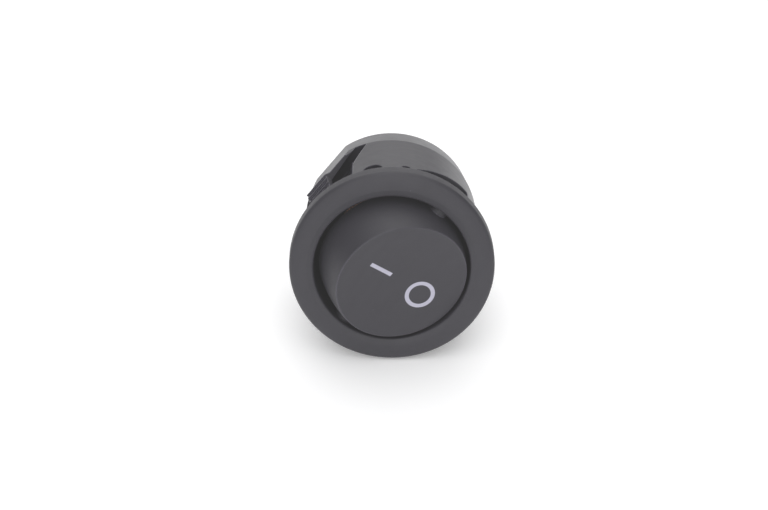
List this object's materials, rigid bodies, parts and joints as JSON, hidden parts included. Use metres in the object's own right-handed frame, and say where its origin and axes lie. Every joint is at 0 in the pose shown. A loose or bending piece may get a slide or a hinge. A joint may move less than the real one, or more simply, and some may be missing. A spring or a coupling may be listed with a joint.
{
  "type": "panel rocker switch",
  "caption": "Round snap-in rocker switch with a domed bezel, a dished rocker, toothed snap arms and push-on terminals.",
  "frame": {"origin": "on the barrel's axis, in the plane where the bezel seats on the panel", "axes": "+Y into the panel along the barrel's axis, +X along the rocker's pivot, +Z towards the rocker's I end"},
  "size_m": [0.023, 0.0293, 0.023],
  "materials": {
    "housing_plastic": "fine satin moulded nylon, near black",
    "rocker_plastic": "fine satin moulded nylon, near black, with pale printed marks",
    "plunger_plastic": "natural acetal, smooth",
    "spring_steel": "bright drawn wire",
    "contact_copper": "rolled copper alloy, satin",
    "contact_silver": "silver alloy, satin",
    "terminal_brass": "tinned brass strip, satin"
  },
  "bodies": {
    "housing": {"housing": "housing_plastic", "common_terminal": "terminal_brass", "load_terminal": "terminal_brass", "fixed_contact": "contact_silver"},
    "rocker": {"rocker": "rocker_plastic", "plunger_spring": "spring_steel"},
    "plunger": {"plunger": "plunger_plastic"},
    "blade": {"contact_blade": "contact_copper", "moving_contact": "contact_silver"}
  },
  "joints": [
    {"name": "rocker_pivot", "type": "hinge", "parent": "housing", "child": "rocker", "pos_m": [0, -0.0003, 0], "axis": [1, 0, 0], "range_deg": [-36, 0]},
    {"name": "plunger_slide", "type": "slide", "parent": "rocker", "child": "plunger", "axis": [0, 0.9511, 0.309], "range_m": [0, 0.000796], "stiffness_N_per_m": 300, "deforming": ["plunger_spring"]},
    {"name": "blade_rock", "type": "hinge", "parent": "housing", "child": "blade", "pos_m": [0, 0.0098, 0], "axis": [1, 0, 0], "range_deg": [0, 14]}
  ],
  "couplings": [
    {"joint": "blade_rock", "follows": "rocker_pivot", "ratio": -0.38889}
  ]
}
